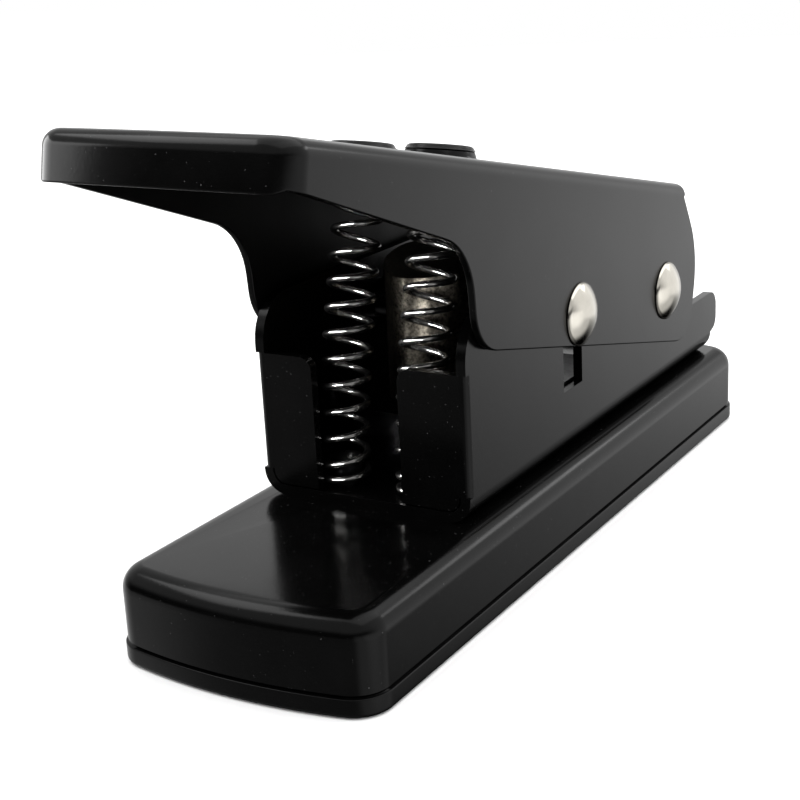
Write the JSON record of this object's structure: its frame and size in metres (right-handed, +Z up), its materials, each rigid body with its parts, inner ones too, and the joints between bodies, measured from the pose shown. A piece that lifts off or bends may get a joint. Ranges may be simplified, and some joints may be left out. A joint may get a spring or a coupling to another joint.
{
  "type": "guitar pick punch",
  "caption": "Hand punch with a sprung sheet-metal lever that drives a pick-shaped punch through a die, on a hollow base that collects the cut picks.",
  "frame": {"origin": "middle of the base's underside, on the desk", "axes": "+Z up, -Y towards the thumb paddle, +X to the right seen from the paddle"},
  "size_m": [0.0444, 0.154, 0.0782],
  "materials": {
    "black_enamel": "gloss",
    "black_plastic": "satin",
    "polished_nickel": "polished",
    "spring_steel": "bright",
    "tool_steel": "ground",
    "zinc_plate": "satin",
    "black_oxide": "black oxide"
  },
  "bodies": {
    "base": {"bottom_cover": "black_plastic", "base_pan": "black_enamel", "frame": "black_enamel", "die_plate": "black_oxide", "strip_rail_left": "black_oxide", "strip_rail_right": "black_oxide", "strip_stop": "black_oxide", "guide_plate": "black_oxide", "die_screws": "zinc_plate", "guide_screws": "black_oxide", "frame_rivets": "black_enamel", "spring_peg_left": "black_oxide", "spring_peg_right": "black_oxide", "pivot_sleeve": "zinc_plate", "spring_left": "spring_steel", "spring_right": "spring_steel"},
    "lever": {"lever": "black_enamel", "pivot_pin": "polished_nickel", "drive_pin": "polished_nickel"},
    "punch": {"punch": "tool_steel"}
  },
  "joints": [
    {"name": "lever_hinge", "type": "hinge", "parent": "base", "child": "lever", "pos_m": [0, 0.03785, 0.0332], "axis": [1, 0, 0], "range_deg": [0, 12.3], "stiffness_Nm_per_rad": 12, "springref_deg": -8.59, "deforming": ["spring_left", "spring_right"]},
    {"name": "punch_slide", "type": "slide", "parent": "base", "child": "punch", "axis": [0, 0, -1], "range_m": [0, 0.00806]}
  ],
  "couplings": [
    {"joint": "punch_slide", "follows": "lever_hinge", "m_per_rad": 0.037565}
  ]
}
